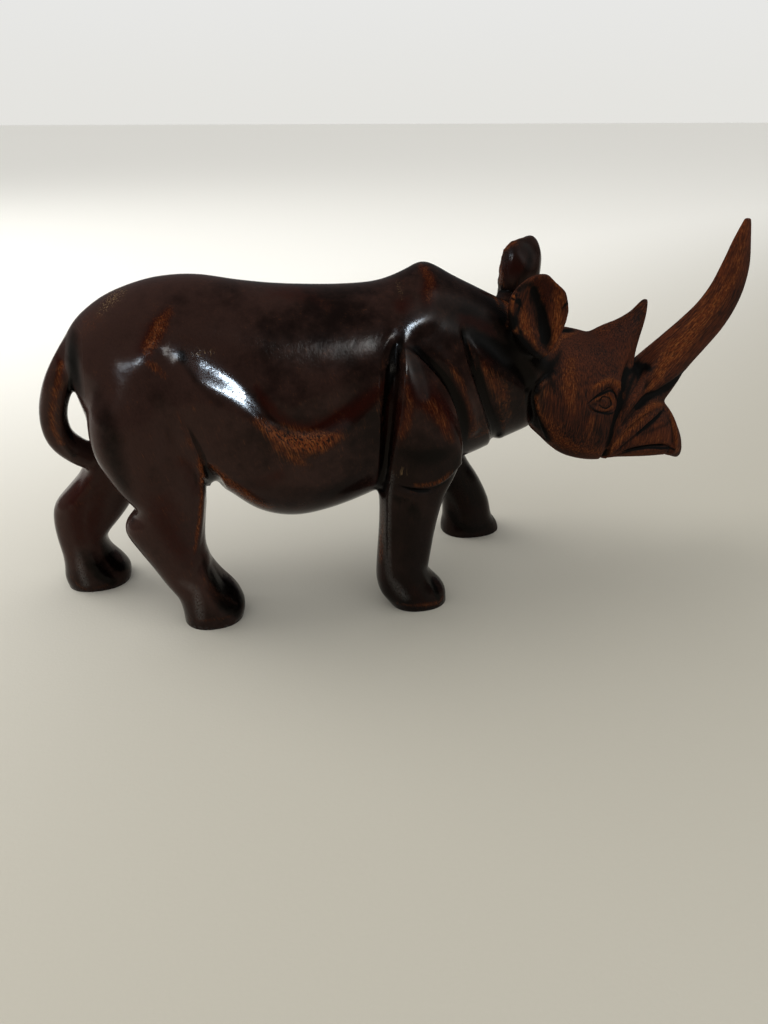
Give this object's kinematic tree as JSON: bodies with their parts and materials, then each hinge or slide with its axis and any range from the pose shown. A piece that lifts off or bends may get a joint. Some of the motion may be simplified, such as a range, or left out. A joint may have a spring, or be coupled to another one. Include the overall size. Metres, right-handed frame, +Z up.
{
  "type": "rhinoceros figurine",
  "caption": "Carved rhinoceros figurine in dark stained wood, striding on its own feet, with a tall curved front horn, cupped ears, carved skin folds and a looped tail.",
  "frame": {"origin": "centre of the bounding box in plan, on the plane of the four soles", "axes": "+X towards the horns, +Y towards the figure's far (left) side, +Z up"},
  "size_m": [0.2568, 0.0672, 0.1251],
  "materials": {
    "stained_wood": "dark brown stain with a worn wax polish"
  },
  "bodies": {
    "root": {"rhinoceros": "stained_wood"}
  },
  "joints": []
}
